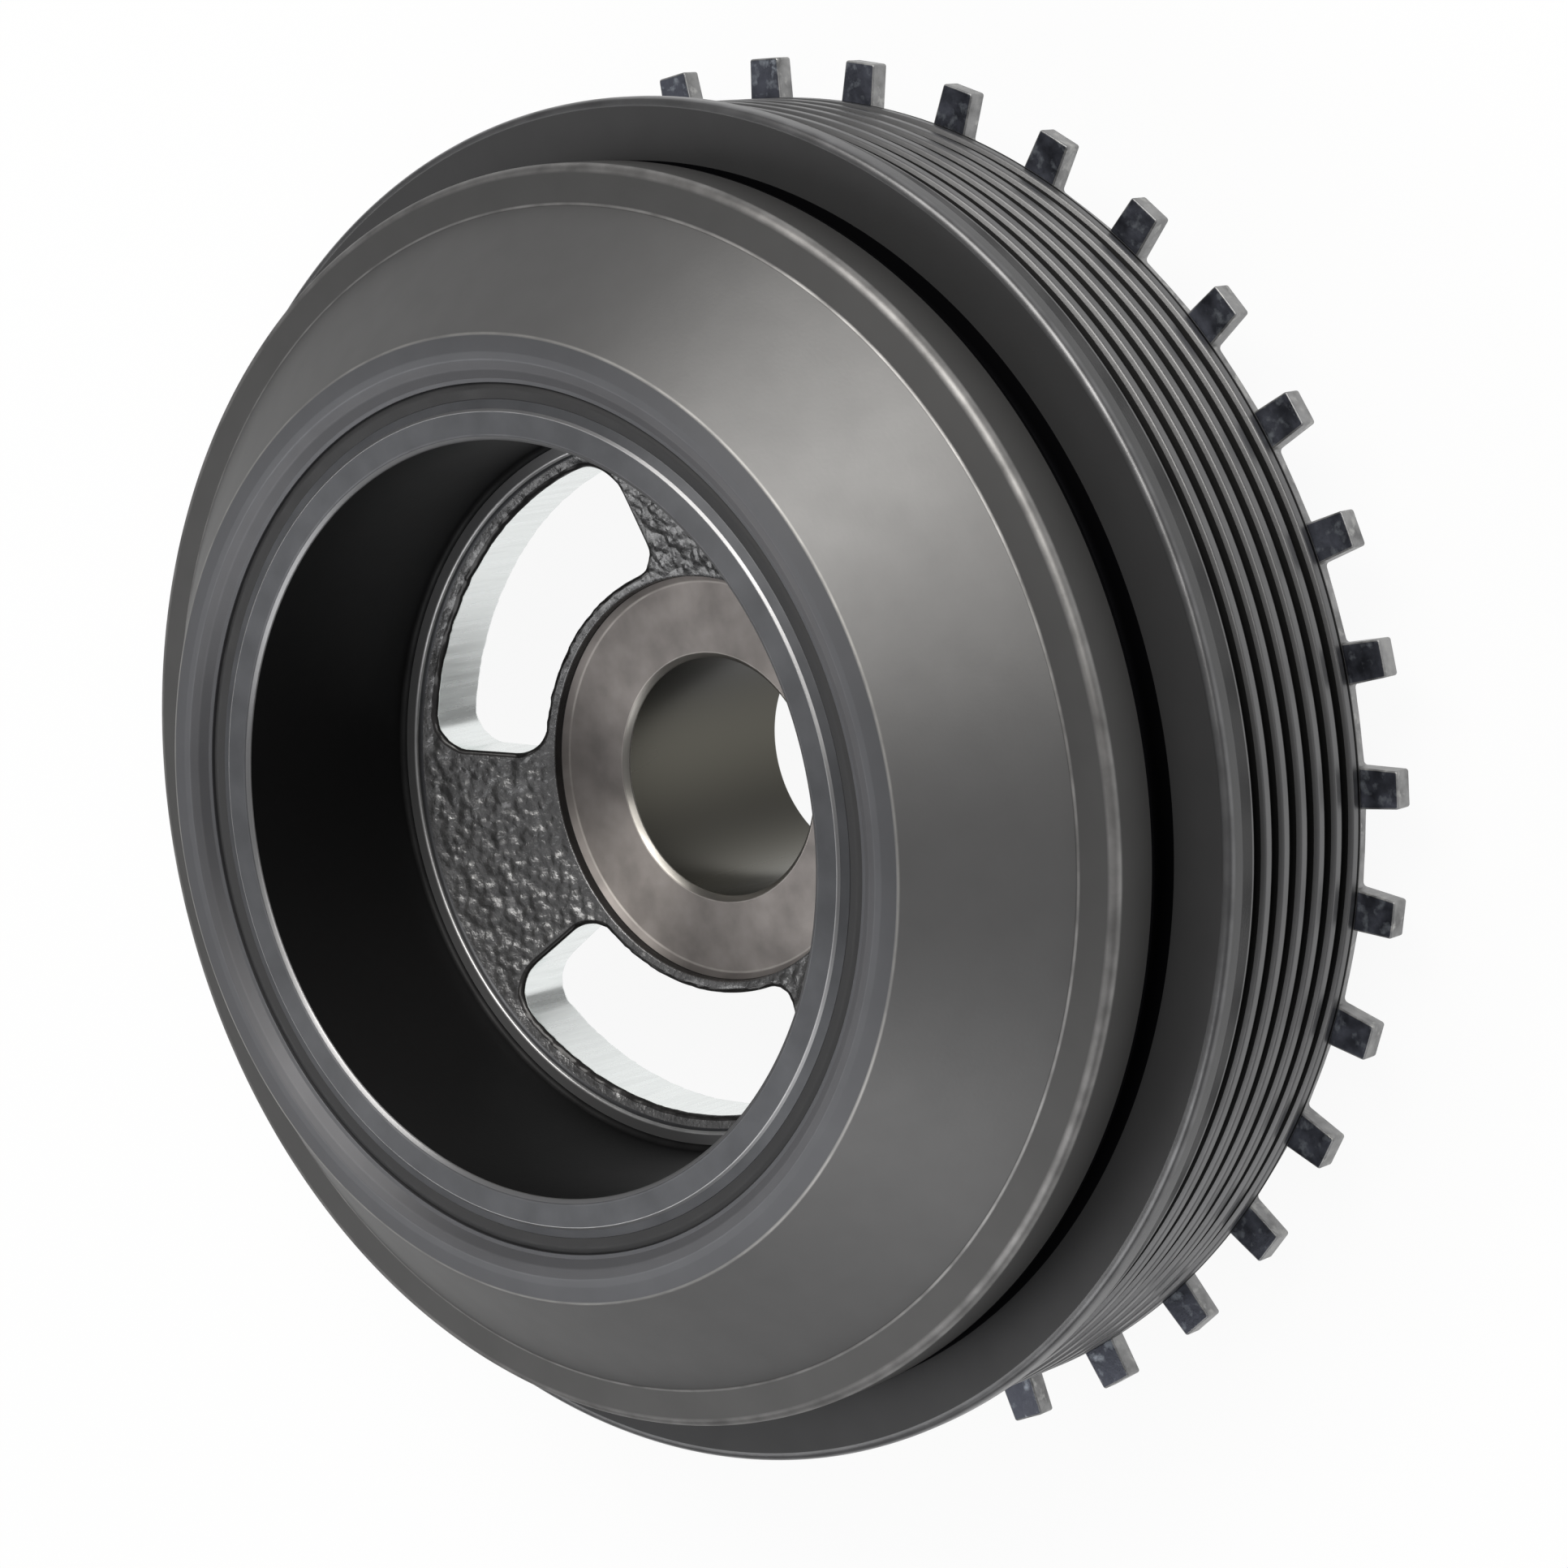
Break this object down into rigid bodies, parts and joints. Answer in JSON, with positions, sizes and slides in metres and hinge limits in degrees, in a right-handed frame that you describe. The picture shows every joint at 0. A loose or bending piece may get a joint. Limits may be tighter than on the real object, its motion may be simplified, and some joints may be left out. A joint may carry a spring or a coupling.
{
  "type": "harmonic balancer",
  "caption": "Crankshaft torsional vibration damper with a cone-nosed iron pulley ring, V-ribbed belt grooves, a three-window hub and a toothed trigger wheel.",
  "frame": {"origin": "centre of the snout's rear end, on the crank axis, where the part stands", "axes": "+Z along the crank axis from the engine to the nose; -Y is the side that the camera sees most of"},
  "size_m": [0.1724, 0.1724, 0.0666],
  "materials": {
    "hub_iron": "dark, sand-cast web and turned faces",
    "rubber": "matte black",
    "ring_iron": "turned satin, dark phosphate",
    "wheel_steel": "dark stamped steel"
  },
  "bodies": {
    "root": {"hub": "hub_iron", "rubber_ring": "rubber", "pulley_ring": "ring_iron", "trigger_wheel": "wheel_steel"}
  },
  "joints": []
}
